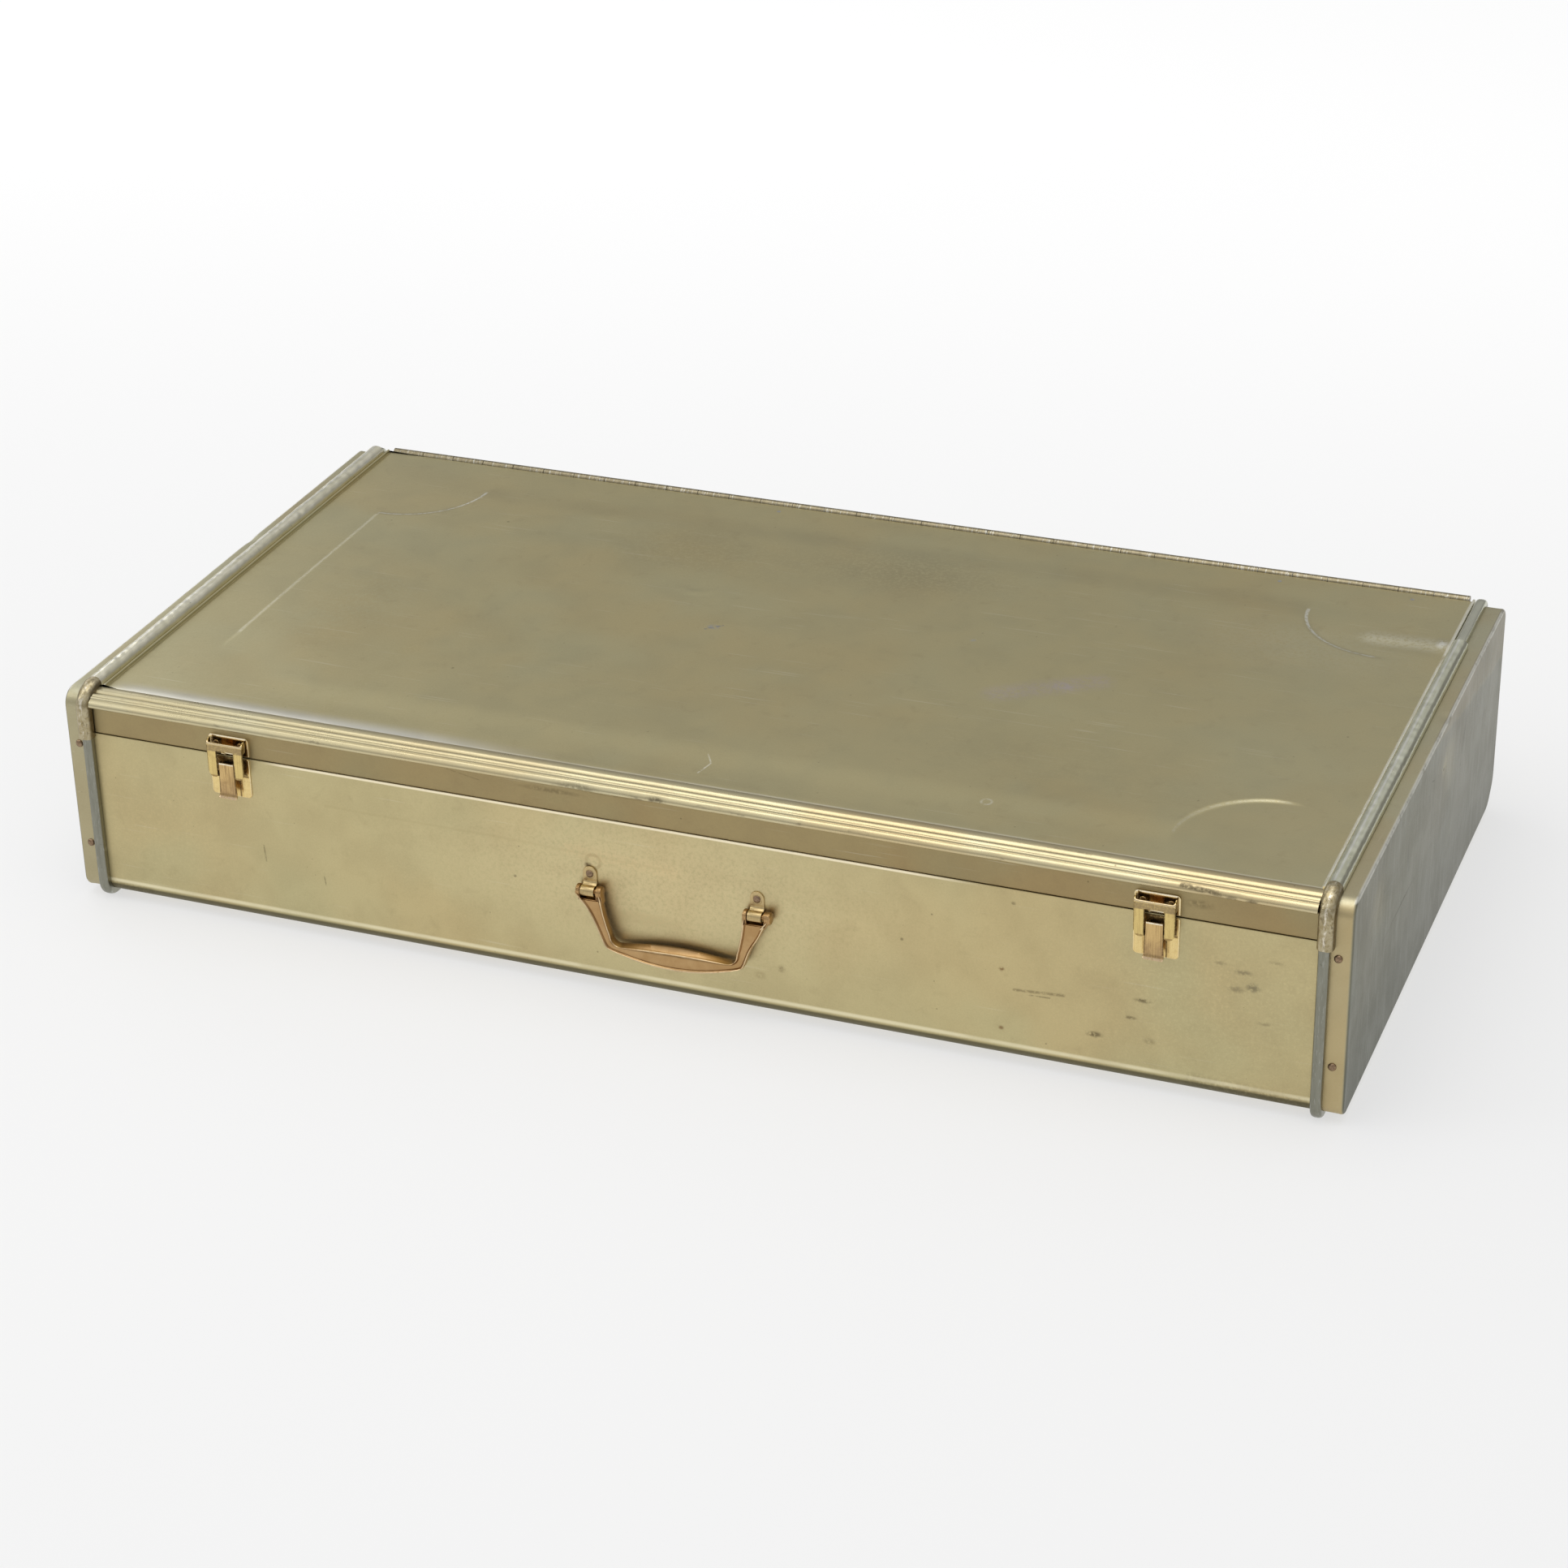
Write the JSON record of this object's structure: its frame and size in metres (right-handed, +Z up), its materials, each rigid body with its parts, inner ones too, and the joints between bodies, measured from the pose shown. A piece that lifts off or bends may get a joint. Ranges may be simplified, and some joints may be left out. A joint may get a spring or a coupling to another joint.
{
  "type": "aluminium attache case",
  "caption": "Wide flat gold aluminium attache case with riveted end boxes, standing rims, hinged lid with ribbed front rail, draw latches and a hanging bronze handle.",
  "frame": {"origin": "under the middle of the closed case, at the level of the rim runners it stands on", "axes": "+X to the right end seen from the front, +Y from the front panel with the handle to the hinge side, +Z up"},
  "size_m": [0.842, 0.4396, 0.1549],
  "materials": {
    "gold_body": "satin pale gold anodised sheet, rubbed and stained",
    "gold_lid": "satin pale gold anodised sheet, fine scratches",
    "gold_rail": "bright pale gold extruded rail, scuffed",
    "gold_end": "satin pale gold drawn sheet, greyed by wear",
    "rim_silver": "bare aluminium, streaked and dulled",
    "mill_aluminium": "plain mill finish",
    "brass": "brass plate, worn and tarnished",
    "handle_bronze": "copper-coloured lacquered casting, rubbed edges",
    "rivet_bronze": "darkened copper-coloured rivet heads",
    "pin_dark": "dark pin ends",
    "steel": "plain steel wire and rivets"
  },
  "bodies": {
    "case_body": {"body_shell": "gold_body", "end_cap_left": "gold_end", "end_cap_right": "gold_end", "rim_left": "rim_silver", "rim_right": "rim_silver", "front_tongue": "mill_aluminium", "end_cap_rivets_left": "rivet_bronze", "end_cap_rivets_right": "rivet_bronze", "hinge_leaf_body": "mill_aluminium", "hinge_pin": "steel", "hinge_rivets_body": "steel", "handle_bracket_left": "brass", "handle_bracket_right": "brass", "handle_rivets": "rivet_bronze", "handle_backplate": "mill_aluminium", "latch_base_left": "brass", "latch_base_right": "brass", "latch_lever_pin_left": "pin_dark", "latch_lever_pin_right": "pin_dark", "latch_rivets_body": "brass"},
    "lid": {"lid_panel": "gold_lid", "front_rail": "gold_rail", "lid_skirt": "gold_lid", "lid_channel_left": "rim_silver", "lid_channel_right": "rim_silver", "lid_corner_left": "gold_rail", "lid_corner_right": "gold_rail", "hinge_leaf_lid": "mill_aluminium", "hinge_rivets_lid": "steel", "latch_keeper_left": "brass", "latch_keeper_right": "brass", "latch_rivets_lid": "brass"},
    "handle": {"handle": "handle_bronze", "handle_pin_left": "handle_bronze", "handle_pin_right": "handle_bronze"},
    "latch_lever_left": {"latch_lever_left": "brass", "latch_yoke_pin_left": "pin_dark"},
    "latch_yoke_left": {"latch_yoke_left": "brass"},
    "latch_lever_right": {"latch_lever_right": "brass", "latch_yoke_pin_right": "pin_dark"},
    "latch_yoke_right": {"latch_yoke_right": "brass"}
  },
  "joints": [
    {"name": "lid_hinge", "type": "hinge", "parent": "case_body", "child": "lid", "pos_m": [0, 0.2167, 0.1469], "axis": [-1, 0, 0], "range_deg": [0, 105]},
    {"name": "handle_swing", "type": "hinge", "parent": "case_body", "child": "handle", "pos_m": [0.0003, -0.215, 0.074], "axis": [-0.9997, 0, -0.0244], "range_deg": [0, 150]},
    {"name": "latch_lever_left_turn", "type": "hinge", "parent": "case_body", "child": "latch_lever_left", "pos_m": [-0.3026, -0.214, 0.1172], "axis": [-1, 0, 0], "range_deg": [0, 100]},
    {"name": "latch_yoke_left_turn", "type": "hinge", "parent": "latch_lever_left", "child": "latch_yoke_left", "pos_m": [-0.3026, -0.2135, 0.111], "axis": [1, 0, 0], "range_deg": [0, 120]},
    {"name": "latch_lever_right_turn", "type": "hinge", "parent": "case_body", "child": "latch_lever_right", "pos_m": [0.3052, -0.214, 0.1172], "axis": [-1, 0, 0], "range_deg": [0, 100]},
    {"name": "latch_yoke_right_turn", "type": "hinge", "parent": "latch_lever_right", "child": "latch_yoke_right", "pos_m": [0.3052, -0.2135, 0.111], "axis": [1, 0, 0], "range_deg": [0, 120]}
  ],
  "couplings": [
    {"joint": "latch_yoke_left_turn", "follows": "latch_lever_left_turn", "ratio": 1.2},
    {"joint": "latch_yoke_right_turn", "follows": "latch_lever_right_turn", "ratio": 1.2}
  ]
}
